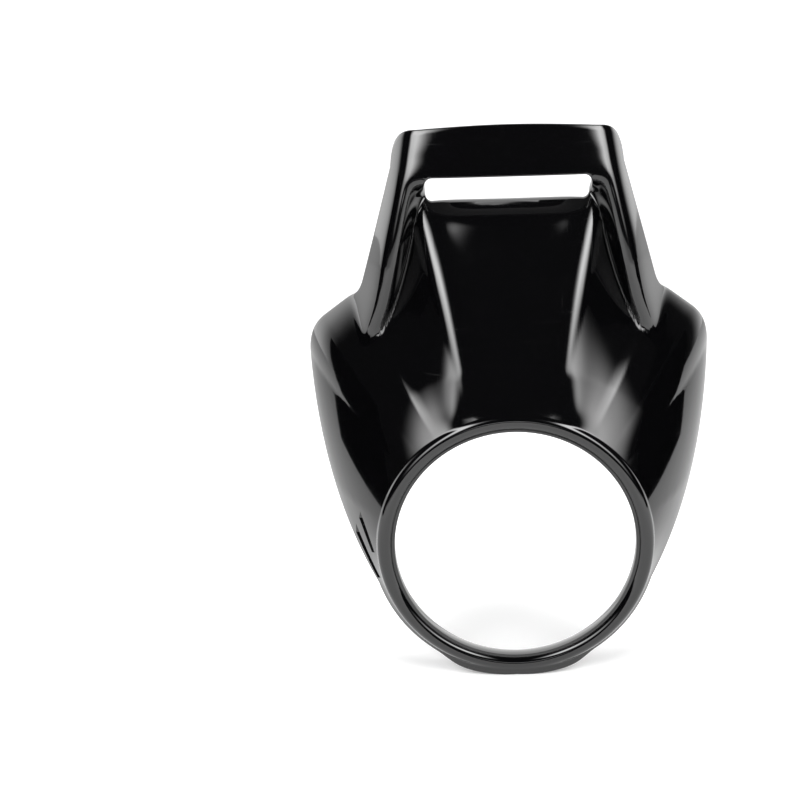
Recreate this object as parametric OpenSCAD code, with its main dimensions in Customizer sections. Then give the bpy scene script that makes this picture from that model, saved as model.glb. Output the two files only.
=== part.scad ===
// Headlight cowl: one moulded shell that fits round a motorcycle headlamp.
// The front faces -Y, +X is to the right of the picture, +Z is up. Sizes in millimetres.
// The origin is on the axis of the headlight opening, halfway along its wall.

/* [Opening and bead] */
// Diameter of the headlight opening
opening_d = 178; // [170:1:186]
// Length of the wall that the lamp passes through
flange_len = 9; // [7:0.5:11]
// Width of the half-round bead round the opening
bead_w = 11.6; // [10.6:0.2:12.6]
// How far the bead stands out from the opening's edge to its centre line
bead_offset = 7.6; // [7:0.2:8.2]

/* [Shell] */
// Wall of the moulding
wall = 3; // [2.4:0.1:3.4]
// Depth of the body where it meets the bead, at the sides
root_y = -2.9; // [-3.6:0.1:-2.2]
// How much further forward the body meets the bead at the top
root_rise = 2.7; // [2.2:0.1:3]

/* [Hood] */
// Lean of the hood, as depth gained for each unit of height
hood_lean = 0.48; // [0.4:0.01:0.54]
// Half width of the flat front at the foot of the hood
hood_foot = 46; // [40:1:50]
// Half width of the flat front at the head of the hood
hood_head = 57; // [52:1:60]
// Height where the hood rolls back to the slot
hood_roll_z = 235; // [230:1:239]

/* [Arch] */
// Height of the top edge at the middle
visor_z = 302; // [296:1:310]
// Half width of the top edge before its corners
visor_half = 68; // [64:1:72]
// How far the ends of the top edge fall below its middle
visor_drop = 3; // [1:0.5:6]
// Depth of the top edge
visor_y = 57; // [52:1:62]
// How far the visor's ends bend back at the top edge
visor_bow = 4; // [0:0.5:6]
// Depth of the arch just over the slot
brow_y = 45; // [41:1:49]
// Height of the lower edge of the visor
brow_z = 262; // [258:1:266]
// Half width of the arch opening at the brow
arch_in_top = 72; // [69:1:74]
// Half width of the arch opening at the foot of the pillars
arch_in_foot = 103; // [99:1:107]
// Height of the foot of the pillars
arch_foot_z = 136; // [130:1:142]
// Slope of the inner walls of the pillars
inner_slope = 2.6; // [2:0.1:3]
// Slope of the flanks of the pillars
flank_slope = 2.3; // [1.8:0.1:2.8]

/* [Wings and skirt] */
// Half width at the wing tips
tip_x = 154; // [148:1:160]
// Height of the widest point of the wings
tip_z = 118; // [112:1:124]
// Depth of the wing tips
tip_y = 111; // [100:1:120]
// How far below the tips the side bulges most
side_drop = 90; // [80:1:98]
// How far in from the tips that bulge lies
side_in = 8.5; // [7:0.5:11]
// Share of the wings' fall that is straight; the rest rolls back towards the rim
wing_straight = 0.62; // [0.56:0.02:0.8]
// Half width at the notch between arch and wing
notch_x = 113; // [109:1:117]
// Height of the notch
notch_z = 175; // [169:1:180]
// Radius of the skirt's edge below the opening
skirt_r = 104.5; // [104:0.5:107]
// How much wider the skirt is beside the opening
skirt_flare = 5.8; // [4:0.2:7]

/* [Slot and vents] */
// Half width of the air slot
slot_half = 60; // [56:1:62]
// Height of the slot's lower edge
slot_low = 244; // [242:0.5:248]
// Height of the slot's upper edge
slot_high = 265.5; // [264:0.5:268]
// Radius of the slot's corners
slot_r = 5; // [3:0.5:6]
// Width of the vent nearer the bead
vent_a_w = 5; // [4:0.5:6]
// Length of the vent nearer the bead
vent_a_len = 28.5; // [24:0.5:32]
// Depth of the lower end of the vent nearer the bead
vent_a_y = 10; // [9:0.5:11]
// Height of the lower end of the vent nearer the bead
vent_a_z = -9; // [-12:1:-6]
// Lean of the vent nearer the bead, from level
vent_a_lean = 70.5; // [67:0.5:74]
// Width of the vent nearer the rear edge
vent_b_w = 6.4; // [5:0.2:7]
// Length of the vent nearer the rear edge
vent_b_len = 38; // [32:1:40]
// Depth of the lower end of the vent nearer the rear edge
vent_b_y = 15; // [14:0.5:16]
// Height of the lower end of the vent nearer the rear edge
vent_b_z = -32; // [-34:1:-28]
// Lean of the vent nearer the rear edge, from level
vent_b_lean = 67.5; // [64:0.5:71]

/* [Fixing bosses] */
// Distance of the upper bosses from the middle
boss_up_x = 34; // [28:1:38]
// Height of the upper bosses
boss_up_z = 152; // [145:1:160]
// Depth of the upper bosses' rear faces
boss_up_y = 38; // [36:1:44]
// Distance of the side bosses from the middle
boss_side_x = 112; // [109:1:115]
// Height of the side bosses
boss_side_z = 50; // [44:1:56]
// Depth of the side bosses' rear faces
boss_side_y = 62; // [59:1:68]
// Diameter of a boss
boss_d = 13; // [11:0.5:15]
// Diameter of the tapped hole in a boss
boss_hole_d = 5; // [4:0.5:6]
// Depth of the tapped hole
boss_hole_len = 10; // [8:0.5:11]

/* [Hidden] */
bore_r = opening_d / 2;
bead_r = bead_w / 2;
bead_c = bore_r + bead_offset;
bead_y = 3 - flange_len / 2;
root_r = bead_c + 3.2;
leg_y = flange_len / 2 + 0.5;
cut = 60;
step = 1;
hood_z = root_r - 1.8;
hood_wide = notch_x - 5;
roll_k = 0.96;

// A rounded ramp that starts at zero
function ramp(s, w) = s > 20 * w ? s : w * ln(1 + exp(s / w));

// The nearer of two depths, and the further of two distances, with a rounded join
function near(a, b, k) = (a + b - sqrt((a - b) * (a - b) + k * k)) / 2;
function far(a, b, k) = (a + b + sqrt((a - b) * (a - b) + k * k)) / 2;

// A smooth curve through a table of points, which never passes beyond them
function gain(p, q) = (q[1] - p[1]) / (q[0] - p[0]);
function even(g, h) = g * h > 0 ? 2 * g * h / (g + h) : 0;
function tilt_at(rows, i) =
    i == 0 ? gain(rows[0], rows[1])
    : i == len(rows) - 1 ? gain(rows[i - 1], rows[i])
    : even(gain(rows[i - 1], rows[i]), gain(rows[i], rows[i + 1]));
function part_of(x, rows, i = 0) = i >= len(rows) - 2 || x < rows[i + 1][0] ? i : part_of(x, rows, i + 1);
function through(x, rows) =
    let (i = part_of(x, rows), p = rows[i], q = rows[i + 1], h = q[0] - p[0])
    let (t = max(0, min(1, (x - p[0]) / h)), u = 1 - t)
    u * u * (1 + 2 * t) * p[1] + t * t * (3 - 2 * t) * q[1]
    + t * u * h * (u * tilt_at(rows, i) - t * tilt_at(rows, i + 1));

// A point on a curve through two ends with one guide point
function bend(p, g, q, t) = (1 - t) * (1 - t) * p + 2 * t * (1 - t) * g + t * t * q;

// Stations round one half of the rim: half width, height, depth, angle on the bead, and how far
// the line from the bead to the rim swings out at its lower and upper third
skirt_n = 10;
function skirt(i) =
    let (f = i / skirt_n)
    let (a = -90 + 70 * f)
    let (r = skirt_r + skirt_flare * sin(90 * f))
    [r * cos(a), r * sin(a), 3 + 17 * f * f, a, 0, 0, 0, 0];
side_0 = skirt(skirt_n);
side_1 = [tip_x - side_in, tip_z - side_drop, tip_y / 2, 9, 0, 0, 0, 0];
tip_0 = [tip_x, tip_z, tip_y, 28, 0, 0, 0, 0];
tip_1 = [tip_x + 1, tip_z + 21, tip_y + 1, 32.5, 0, 0, 0, 0];
tip_2 = [tip_x - 13, tip_z + 32.5, tip_y - 5, 34.5, 2, 0, 1, 0];
notch_0 = [notch_x + 3.5, notch_z - 3.5, tip_y - 18, 37.5, 10, 2, 5, 0];
notch_1 = [notch_x - 0.5, notch_z, tip_y - 20, 38.2, 13, 3, 6, 0];
notch_2 = [notch_x - 3.5, notch_z + 9, tip_y - 23, 39, 16, 3, 7, 0];
flank_1 = [notch_x - 16, notch_z + 53, visor_y + 17, 41, 29, 3, 11, -1];
flank_2 = [visor_half + 17, visor_z - 30, visor_y + 6, 43, 37, -2, 11, -3];
corner_1 = [visor_half + 16, visor_z - 16, visor_y + 4, 44, 40, -3, 9, -5];
corner_2 = [visor_half + 12, visor_z - visor_drop - 7, visor_y + 2, 45, 41, -4, 7, -7];
corner_3 = [visor_half + 8, visor_z - visor_drop - 0.5, visor_y + 1, 46.3, 41, -5, 6, -8];
crest = [visor_half + 1, visor_z - visor_drop, visor_y, 48, 40, -6, 4, -9];
valley = [visor_half - 7, visor_z - 0.8 * visor_drop, visor_y, 53, 33, -7, 0, -10];
shoulder = [hood_head + 1, visor_z - 0.7 * visor_drop, visor_y, 62, 2, 0, 0, 0];
top_1 = [hood_head / 2, visor_z, visor_y, 76, 0, 0, 0, 0];
top_2 = [0, visor_z, visor_y, 90, 0, 0, 0, 0];

function span(p, g, q, n) = [for (i = [1:n]) bend(p, g, q, i / n)];
half_rim = concat(
    [for (i = [0:skirt_n]) skirt(i)],
    span(side_0, side_1, tip_0, 8),
    span(tip_0, tip_1, tip_2, 4),
    span(tip_2, (tip_2 + notch_0) / 2, notch_0, 3),
    span(notch_0, notch_1, notch_2, 2),
    span(notch_2, flank_1, flank_2, 6),
    span(flank_2, corner_1, corner_2, 3),
    span(corner_2, corner_3, crest, 3),
    span(crest, (crest + valley) / 2, valley, 6),
    span(valley, (valley + shoulder) / 2, shoulder, 5),
    span(shoulder, top_1, top_2, 4)
);

// Reach and depth of the rim against the angle round the opening
rim_reach = [for (s = half_rim) [atan2(s[1], s[0]), norm([s[0], s[1]])]];
rim_depth = [for (s = half_rim) [atan2(s[1], s[0]), s[2]]];

// Share of the fall from the bead to the rim, at a share t of the way: the short skirt is nearly
// straight, and the longer wings run flat and then roll back like a quarter round
function fall_at(t, long) =
    let (u = min(t, 1.03))
    let (roll = (1 - sqrt(1 - roll_k * roll_k * u * u)) / (1 - sqrt(1 - roll_k * roll_k)))
    let (wing = wing_straight * u + (1 - wing_straight) * roll)
    let (w = max(0, min(1, (long - 10) / 30)))
    t < 0 ? 1.3 * t : (1 - w) * (1.3 * t - 0.3 * t * t) + w * wing;

// Depth of the body that carries the wings and the skirt
function body(x, z) =
    let (r = norm([x, z]))
    let (a = atan2(z, x))
    let (y0 = root_y - root_rise * z / r)
    let (long = lookup(a, rim_reach) - root_r)
    let (hide = 90 * max(0, min(1, (a - 56) / 30)))
    y0 + (lookup(a, rim_depth) + hide - y0) * fall_at((r - root_r) / long, long);

// Depth of the hood: a flat front with rounded shoulders and sides that fall away
function hood(x, z) =
    let (front = root_y - root_rise - 0.9 + hood_lean * ramp(z - hood_z, 4) + 0.9 * ramp(z - hood_roll_z, 2.5))
    let (edge = through(z, [[90, hood_foot], [176, hood_foot + 4], [215, hood_head - 3], [250, hood_head]]))
    let (fall = through(z, [[80, 0.8], [130, 1], [167, 1.35], [212, 1.5]]))
    front + fall * ramp(x - edge, 3.5) + 0.0012 * x * x + 1.2 * ramp(x - hood_wide, 6);

// Depth of the arch: visor and pillars, with a steep wall inside and a flank outside
function arch(x, z) =
    let (face = through(z, [
        [100, brow_y + 31], [118, brow_y + 21], [arch_foot_z, brow_y + 13], [155, brow_y + 5.5],
        [174, brow_y + 0.5], [196, brow_y - 2.5], [219, brow_y - 3.5], [240, brow_y - 2.5],
        [brow_z, brow_y], [282, brow_y + 5.5], [visor_z, visor_y]
    ]))
    let (inner = through(z, [
        [120, arch_in_foot + 9], [arch_foot_z, arch_in_foot], [154, arch_in_foot - 8.5],
        [174, arch_in_foot - 15], [196, arch_in_foot - 19.5], [219, arch_in_foot - 23.5],
        [brow_z, arch_in_top], [visor_z, arch_in_top - 4]
    ]))
    let (outer = through(z, [
        [120, arch_in_foot + 15], [arch_foot_z, arch_in_foot + 7], [154, arch_in_foot + 1],
        [174, arch_in_foot - 5], [219, arch_in_foot - 14], [brow_z, arch_in_top + 8], [visor_z, arch_in_top + 2]
    ]))
    let (wall_slope = through(z, [[120, 1], [150, 1.8], [175, inner_slope - 0.2], [215, inner_slope]]))
    let (inside = -far(x - inner, 1.3 * (z - brow_z), 9))
    let (bow = through(z, [[200, 0], [250, 0.38 * visor_bow], [visor_z, visor_bow]]) * pow(x / visor_half, 4))
    face + bow + wall_slope * ramp(inside, 1.6) + flank_slope * ramp(x - outer, 2.5);

// Depth of the outer surface of the whole shell; the hood's root is sharper next to the bead
function face_y(x, z) =
    let (soft = 1.5 + 5.5 * min(1, (norm([x, z]) - root_r) / 35))
    near(near(body(abs(x), z), hood(abs(x), z), soft), arch(abs(x), z), 3);

// Slopes of the outer surface across and upwards
function slope_x(x, z) = (face_y(x + step, z) - face_y(x - step, z)) / (2 * step);
function slope_z(x, z) = (face_y(x, z + step) - face_y(x, z - step)) / (2 * step);

// Rows of the shell from the bead to the rim
rows = [
    0, 0.05, 0.1, 0.16, 0.22, 0.28, 0.34, 0.4, 0.46, 0.52, 0.57, 0.62,
    0.66, 0.695, 0.73, 0.765, 0.8, 0.84, 0.89, 0.94, 1
];
row_n = len(rows);

// The stations of both halves, once round the opening
function mirrored(s) = [-s[0], s[1], s[2], 180 - s[3], -s[4], s[5], -s[6], s[7]];
rim = concat(half_rim, [for (i = [len(half_rim) - 2:-1:1]) mirrored(half_rim[i])]);
rim_n = len(rim);

// A place on the face at a station and a row
function place(s, t) =
    let (p = root_r * [cos(s[3]), sin(s[3])])
    let (q = [s[0], s[1]])
    let (low = p + (q - p) / 3 + [s[4], s[5]])
    let (high = q - (q - p) / 3 + [s[6], s[7]])
    let (u = 1 - t)
    u * u * u * p + 3 * u * u * t * low + 3 * u * t * t * high + t * t * t * q;

function outer_point(s, t) =
    let (p = place(s, t))
    [p[0], face_y(p[0], p[1]), p[1]];

// The inner point behind it, one wall away; at the rim it moves square to the face
function inner_point(s, i) =
    let (p = place(s, rows[i]))
    let (gx = slope_x(p[0], p[1]))
    let (gz = slope_z(p[0], p[1]))
    let (long = sqrt(1 + gx * gx + gz * gz))
    let (tilt = norm([gx, gz]))
    let (gap = i == row_n - 1 ? norm(p - place(s, rows[i - 1])) : 0)
    let (share = i == row_n - 1 ? min(1, 0.6 * gap * long / (wall * tilt + 0.001)) : 0)
    let (shift = share * wall / long)
    let (reach = min(long, 2.4))
    [p[0] - shift * gx, face_y(p[0], p[1]) + wall * reach - shift * tilt * tilt, p[1] - shift * gz];

// Each four-sided patch is split along the diagonal that lies nearer the true surface
function patch(j, i) =
    let (k = (j + 1) % rim_n)
    [j * row_n + i, k * row_n + i, k * row_n + i + 1, j * row_n + i + 1];
function split(c, flip, base) =
    let (a = c[0] + base, b = c[1] + base, p = c[2] + base, q = c[3] + base)
    flip ? [[a, b, q], [b, p, q]] : [[a, b, p], [a, p, q]];
function turned(f) = [f[0], f[2], f[1]];

module shell() {
    outer = [for (s = rim) for (t = rows) outer_point(s, t)];
    inner = [for (s = rim) for (i = [0:row_n - 1]) inner_point(s, i)];
    base = rim_n * row_n;
    last = row_n - 1;
    patches = [for (j = [0:rim_n - 1]) for (i = [0:row_n - 2]) patch(j, i)];
    flips = [
        for (c = patches)
            let (m = (outer[c[0]] + outer[c[1]] + outer[c[2]] + outer[c[3]]) / 4)
            let (y = face_y(m[0], m[2]))
            let (one = (outer[c[0]][1] + outer[c[2]][1]) / 2)
            let (two = (outer[c[1]][1] + outer[c[3]][1]) / 2)
            abs(two - y) < abs(one - y)
    ];
    front = [for (n = [0:len(patches) - 1]) each split(patches[n], flips[n], 0)];
    back = [for (n = [0:len(patches) - 1]) each [for (f = split(patches[n], flips[n], base)) turned(f)]];
    foot = [
        for (j = [0:rim_n - 1]) let (c = patch(j, 0), a = c[0], b = c[1])
        each [[base + a, b, a], [base + a, base + b, b]]
    ];
    edge = [
        for (j = [0:rim_n - 1]) let (c = patch(j, last), a = c[0], b = c[1])
        each [[a, b, base + a], [b, base + b, base + a]]
    ];
    polyhedron(points = concat(outer, inner), faces = concat(front, back, foot, edge), convexity = 12);
}

// The half-round bead with its two legs, open behind, and the flange inside it
module channel(r, foot) {
    circle(r = r, $fn = 96);
    translate([-r, 0]) square([2 * r, foot]);
}

module bead_profile() {
    translate([bead_c, bead_y]) difference() {
        channel(bead_r, leg_y - bead_y);
        channel(bead_r - wall, cut);
    }
    translate([bore_r, -flange_len / 2]) square([wall, flange_len]);
}

module bead() {
    rotate([-90, 0, 0]) rotate_extrude($fn = 180) bead_profile();
}

// The long air slot between the hood and the visor
module air_slot() {
    high = slot_high - slot_low;
    translate([0, cut, slot_low + high / 2])
        rotate([90, 0, 0])
        translate([0, 0, -cut])
        linear_extrude(height = 2 * cut - 20) {
            square([2 * slot_half, high - 2 * slot_r], center = true);
            square([2 * slot_half - 2 * slot_r, high], center = true);
            for (x = [-1, 1], z = [-1, 1])
                translate([x * (slot_half - slot_r), z * (high / 2 - slot_r)])
                circle(r = slot_r, $fn = 48);
        }
}

// One vent in the side panel, seen from the side: its upper end is cut square to the bead
module vent(y, z, long, lean, w) {
    along = [cos(lean), sin(lean)];
    side = [along[1], -along[0]] * w / 2;
    low = [y, z];
    high = low + long * along;
    rake = along * w / 2;
    translate([-bead_c - cut, 0, 0])
        rotate([90, 0, 90])
        linear_extrude(height = cut)
        polygon([low - side, low + side, high + side - rake, high - side + rake]);
}

// A boss on the inside of the shell, cut to the slope of the wall in front of it
module boss(x, z, rear) {
    front = face_y(x, z);
    gx = slope_x(x, z);
    gz = slope_z(x, z);
    difference() {
        translate([x, rear, z])
            rotate([90, 0, 0])
            cylinder(d = boss_d, h = rear - front + boss_d, $fn = 64);
        translate([x, front + wall / 2, z])
            rotate([0, acos(-gz / sqrt(1 + gx * gx + gz * gz)), atan2(1, -gx)])
            translate([-cut / 2, -cut / 2, -cut])
            cube([cut, cut, cut]);
    }
}

module boss_hole(x, z, rear) {
    translate([x, rear + 1, z])
        rotate([90, 0, 0])
        cylinder(d = boss_hole_d, h = boss_hole_len + 1, $fn = 64);
}

module cowl() {
    color([0.02, 0.02, 0.022]) difference() {
        union() {
            shell();
            bead();
            for (side = [-1, 1]) {
                boss(side * boss_up_x, boss_up_z, boss_up_y);
                boss(side * boss_side_x, boss_side_z, boss_side_y);
            }
        }
        air_slot();
        vent(vent_a_y, vent_a_z, vent_a_len, vent_a_lean, vent_a_w);
        vent(vent_b_y, vent_b_z, vent_b_len, vent_b_lean, vent_b_w);
        for (side = [-1, 1]) {
            boss_hole(side * boss_up_x, boss_up_z, boss_up_y);
            boss_hole(side * boss_side_x, boss_side_z, boss_side_y);
        }
    }
}

cowl();
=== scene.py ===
import math

import bpy
import numpy as np
from mathutils import Matrix, Vector


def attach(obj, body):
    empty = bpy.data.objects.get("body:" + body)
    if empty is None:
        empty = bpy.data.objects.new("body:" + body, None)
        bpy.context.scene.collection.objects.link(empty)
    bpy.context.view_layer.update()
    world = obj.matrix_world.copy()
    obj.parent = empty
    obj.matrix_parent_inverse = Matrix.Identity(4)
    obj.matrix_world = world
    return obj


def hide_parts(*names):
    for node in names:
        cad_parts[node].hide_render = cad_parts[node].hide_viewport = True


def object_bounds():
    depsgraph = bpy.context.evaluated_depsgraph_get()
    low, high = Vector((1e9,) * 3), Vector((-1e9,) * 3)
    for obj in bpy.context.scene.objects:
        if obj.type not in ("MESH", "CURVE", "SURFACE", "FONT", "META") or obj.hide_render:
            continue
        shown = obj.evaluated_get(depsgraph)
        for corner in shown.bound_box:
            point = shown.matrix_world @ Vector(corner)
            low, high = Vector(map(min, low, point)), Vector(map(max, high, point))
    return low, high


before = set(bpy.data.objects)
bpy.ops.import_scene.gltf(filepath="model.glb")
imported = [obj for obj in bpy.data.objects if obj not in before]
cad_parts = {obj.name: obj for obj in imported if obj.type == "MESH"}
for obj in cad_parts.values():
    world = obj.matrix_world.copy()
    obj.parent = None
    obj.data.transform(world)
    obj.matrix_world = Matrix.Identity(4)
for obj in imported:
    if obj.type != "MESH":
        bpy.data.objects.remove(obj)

CAD_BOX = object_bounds()
MM = 0.001
FINE = 4  # how finely the bends of the rim are split
ROOT_GAP = 3.2  # from the bead's centre line to where the body starts
BEAD_BLEND = 0.7  # roundness of the join between bead and body
MOST_SLANT = 2.4  # the most that the wall's depth grows where the face slants

bl_info = {
    "name": "Headlight Cowl",
    "version": (1, 0, 0),
    "blender": (4, 5, 0),
    "location": "3D View > Sidebar > Cowl",
    "description": "Builds a moulded headlight cowl and its studio",
    "category": "Add Mesh",
}


def length(size, name, text):
    """A length in millimetres as a property in metres."""
    return bpy.props.FloatProperty(name=name, description=text, default=size * MM, unit="LENGTH", precision=4)


def share(value, name, text):
    """A bare number, such as a slope or a roughness, as a property."""
    return bpy.props.FloatProperty(name=name, description=text, default=value, precision=3)


def angle(value, name, text):
    """An angle in degrees as a property in radians."""
    return bpy.props.FloatProperty(name=name, description=text, default=math.radians(value), subtype="ANGLE")


def tint(value, name, text):
    """A colour property."""
    return bpy.props.FloatVectorProperty(
        name=name, description=text, subtype="COLOR", size=4, min=0, max=1, default=(*value, 1)
    )


class CowlForm(bpy.types.PropertyGroup):
    """Lengths of the moulding."""

    opening: length(89, "Opening", "Radius of the headlight opening")
    flange: length(9, "Flange", "Length of the wall that the lamp passes through")
    bead: length(5.8, "Bead", "Radius of the bead round the opening")
    bead_out: length(96.6, "Bead reach", "Radius of the bead's centre line")
    bead_y: length(-1.5, "Bead depth", "Depth of the bead's centre line")
    wall: length(3, "Wall", "Wall of the moulding")
    root_y: length(-2.9, "Root depth", "Depth of the body where it meets the bead, at the sides")
    root_rise: length(2.7, "Root rise", "How much further forward the body meets the bead at the top")
    hood_foot: length(46, "Hood foot", "Half width of the flat front at the foot of the hood")
    hood_head: length(57, "Hood head", "Half width of the flat front at the head of the hood")
    hood_roll_z: length(235, "Hood roll", "Height where the hood rolls back to the slot")
    visor_z: length(302, "Top", "Height of the top edge at the middle")
    visor_half: length(68, "Top half width", "Half width of the top edge before its corners")
    visor_drop: length(3, "Top drop", "How far the ends of the top edge fall below its middle")
    visor_y: length(57, "Top depth", "Depth of the top edge")
    visor_bow: length(4, "Top bow", "How far the visor's ends bend back at the top edge")
    brow_y: length(45, "Brow depth", "Depth of the arch just over the slot")
    brow_z: length(262, "Brow height", "Height of the lower edge of the visor")
    arch_top: length(72, "Arch head", "Half width of the arch opening at the brow")
    arch_foot: length(103, "Arch foot", "Half width of the arch opening at the foot of the pillars")
    arch_foot_z: length(136, "Arch foot height", "Height of the foot of the pillars")
    tip_x: length(154, "Wing reach", "Half width at the wing tips")
    tip_z: length(118, "Wing height", "Height of the widest point of the wings")
    tip_y: length(111, "Wing depth", "Depth of the wing tips")
    side_drop: length(90, "Side drop", "How far below the tips the side bulges most")
    side_in: length(8.5, "Side inset", "How far in from the tips that bulge lies")
    notch_x: length(113, "Notch reach", "Half width at the notch between arch and wing")
    notch_z: length(175, "Notch height", "Height of the notch")
    skirt_r: length(104.5, "Skirt", "Radius of the skirt's edge below the opening")
    skirt_flare: length(5.8, "Skirt flare", "How much wider the skirt is beside the opening")
    slot_half: length(60, "Slot half width", "Half width of the air slot")
    slot_low: length(244, "Slot low", "Height of the slot's lower edge")
    slot_high: length(265.5, "Slot high", "Height of the slot's upper edge")
    slot_corner: length(5, "Slot corner", "Radius of the slot's corners")
    slot_lip: length(1.3, "Slot lip", "How far the slot's rounded edge reaches into it")
    vent_a_w: length(5, "Vent A width", "Width of the vent nearer the bead")
    vent_a_len: length(28.5, "Vent A length", "Length of the vent nearer the bead")
    vent_a_y: length(10, "Vent A depth", "Depth of its lower end")
    vent_a_z: length(-9, "Vent A height", "Height of its lower end")
    vent_b_w: length(6.4, "Vent B width", "Width of the vent nearer the rear edge")
    vent_b_len: length(38, "Vent B length", "Length of the vent nearer the rear edge")
    vent_b_y: length(15, "Vent B depth", "Depth of its lower end")
    vent_b_z: length(-32, "Vent B height", "Height of its lower end")
    boss_up_x: length(34, "Upper bosses", "Distance of the upper bosses from the middle")
    boss_up_y: length(38, "Upper boss depth", "Depth of the upper bosses' rear faces")
    boss_up_z: length(152, "Upper boss height", "Height of the upper bosses")
    boss_side_x: length(112, "Side bosses", "Distance of the side bosses from the middle")
    boss_side_y: length(62, "Side boss depth", "Depth of the side bosses' rear faces")
    boss_side_z: length(50, "Side boss height", "Height of the side bosses")
    boss: length(6.5, "Boss", "Radius of a fixing boss")
    boss_hole: length(2.5, "Boss hole", "Radius of its tapped hole")
    boss_hole_deep: length(10, "Boss hole depth", "Depth of its tapped hole")


class CowlSlopes(bpy.types.PropertyGroup):
    """Slopes, shares and angles of the moulding."""

    hood_lean: share(0.48, "Hood lean", "Depth gained by the hood for each unit of height")
    inner_slope: share(2.6, "Inner walls", "Slope of the inner walls of the pillars")
    flank_slope: share(2.3, "Flanks", "Slope of the flanks of the pillars")
    wing_straight: share(0.62, "Straight share", "Share of the wings' fall that is straight")
    roll: share(0.96, "Roll", "How nearly the rest of that fall runs through a quarter round")
    vent_a_lean: angle(70.5, "Vent A lean", "Lean of the vent nearer the bead, from level")
    vent_b_lean: angle(67.5, "Vent B lean", "Lean of the vent nearer the rear edge, from level")


class CowlFinish(bpy.types.PropertyGroup):
    """Colours and gloss."""

    gloss_black: tint((0.0013, 0.0013, 0.0016), "Gloss black", "Colour of the outer face")
    inner_black: tint((0.005, 0.005, 0.0055), "Inner black", "Colour of the inner face")
    gloss: share(0.07, "Gloss roughness", "Roughness of the outer face")
    satin: share(0.42, "Satin roughness", "Roughness of the inner face")
    coat: share(0.5, "Clear coat", "Weight of the clear coat on the outer face")


class CowlStage(bpy.types.PropertyGroup):
    """Camera, lamps and floor."""

    camera_up: angle(18.8013, "Camera height", "Angle of the camera above the level")
    camera_turn: angle(-1.9198, "Camera turn", "Angle of the camera to the side")
    camera_roll: angle(2.0172, "Camera roll", "Turn of the camera about its own axis")
    camera_far: length(1395.4756, "Camera distance", "Distance of the camera from its target")
    target_x: length(-83.2002, "Target across", "Where the camera aims, across")
    target_y: length(50, "Target depth", "Where the camera aims, in depth")
    target_z: length(97.2272, "Target height", "Where the camera aims, in height")
    lens: share(1861.442 / 800 * 36, "Lens", "Focal length on a 36 mm wide image")
    floor_shade: tint((0.86, 0.86, 0.86), "Floor", "Colour of the floor")
    floor_lift: share(0.72, "Floor lift", "What the camera alone sees the floor give off, far from the cowl")
    floor_lift_near: share(0.2, "Near lift", "The same next to the cowl, where the lamps light the floor")
    front_sheen: share(0.35, "Front sheen", "What reflections see the floor give off in front of the cowl")
    side_level: share(0.5, "Side sheen", "What reflections see the floor give off beside the cowl")
    room_level: share(0.5, "Room", "Even light of the room")
    back_level: share(2.0, "Back", "Brightness of the pale wall behind the cowl, in reflections")
    dark_to: angle(105, "Dark to", "How far round from the front the dark room reaches")
    dark_turn: angle(6.5, "Dark turn", "How far the dark room is turned to the right")
    box_far: length(1700, "Softbox distance", "Distance of each softbox")
    box_soft: share(0.38, "Softbox edge", "Share of a softbox over which its edge fades")
    box_dim: share(0.9, "Softbox foot", "Brightness of a softbox at its dim end")
    box_bright: share(2.8, "Softbox head", "Brightness of a softbox at its bright end")
    left_turn: angle(-38, "Left turn", "Angle of the left softbox from the front")
    left_up: angle(30, "Left height", "Angle of the left softbox above the level")
    left_lean: angle(-22, "Left lean", "Lean of the left softbox")
    left_wide: length(1040, "Left width", "Width of the left softbox")
    left_high: length(1800, "Left length", "Length of the left softbox")
    left_level: share(3.8, "Left level", "Brightness of the left softbox")
    right_turn: angle(48.5, "Right turn", "Angle of the right softbox from the front")
    right_up: angle(29, "Right height", "Angle of the right softbox above the level")
    right_lean: angle(32, "Right lean", "Lean of the right softbox")
    right_wide: length(980, "Right width", "Width of the right softbox")
    right_high: length(1950, "Right length", "Length of the right softbox")
    right_level: share(3.8, "Right level", "Brightness of the right softbox")
    front_turn: angle(0, "Front turn", "Angle of the low front strip from the front")
    front_lean: angle(0, "Front lean", "Lean of the low front strip")
    front_up: angle(8, "Front height", "Angle of the low front strip above the level")
    front_wide: length(1100, "Front width", "Width of the low front strip")
    front_high: length(140, "Front strip", "Height of the low front strip itself")
    front_level: share(2, "Front level", "Brightness of the low front strip")
    flag_x: length(1250, "Flags across", "Distance of the black boards from the middle")
    flag_front: length(-300, "Flags front", "Depth of their front edges")
    flag_rear: length(420, "Flags rear", "Depth of their rear edges")
    flag_high: length(480, "Flags height", "Height of their upper edges")


def ramp(s, w):
    """A rounded ramp: w times the natural logarithm of one plus e to the s over w."""
    return w * np.logaddexp(0.0, s / w)


def near(a, b, k):
    """The nearer of two depths, with a rounded join: half of their sum less the root of their difference
    squared plus k squared."""
    return (a + b - np.sqrt((a - b) ** 2 + k * k)) / 2


def far(a, b, k):
    """The further of two distances, rounded in the same way."""
    return (a + b + np.sqrt((a - b) ** 2 + k * k)) / 2


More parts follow.
